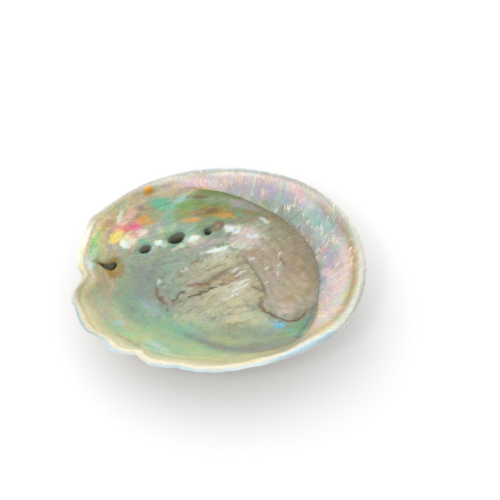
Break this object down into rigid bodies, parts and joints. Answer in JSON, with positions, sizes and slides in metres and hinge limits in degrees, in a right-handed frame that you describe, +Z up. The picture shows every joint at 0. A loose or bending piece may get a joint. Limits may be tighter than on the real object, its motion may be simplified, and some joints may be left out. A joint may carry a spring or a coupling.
{
  "type": "abalone shell",
  "caption": "Ear-shaped abalone shell on its back: pearly bowl, inner shelf, row of breathing holes, muscle scar.",
  "frame": {"origin": "on the resting surface, under the middle of the shell's outline", "axes": "+X towards the spire end along the length, +Y towards the side with the row of holes, +Z up out of the hollow"},
  "size_m": [0.1498, 0.1096, 0.0399],
  "materials": {
    "shell": "iridescent nacre inside, satin; matt grey-green and brown growth bands outside"
  },
  "bodies": {
    "root": {"abalone_shell": "shell"}
  },
  "joints": []
}
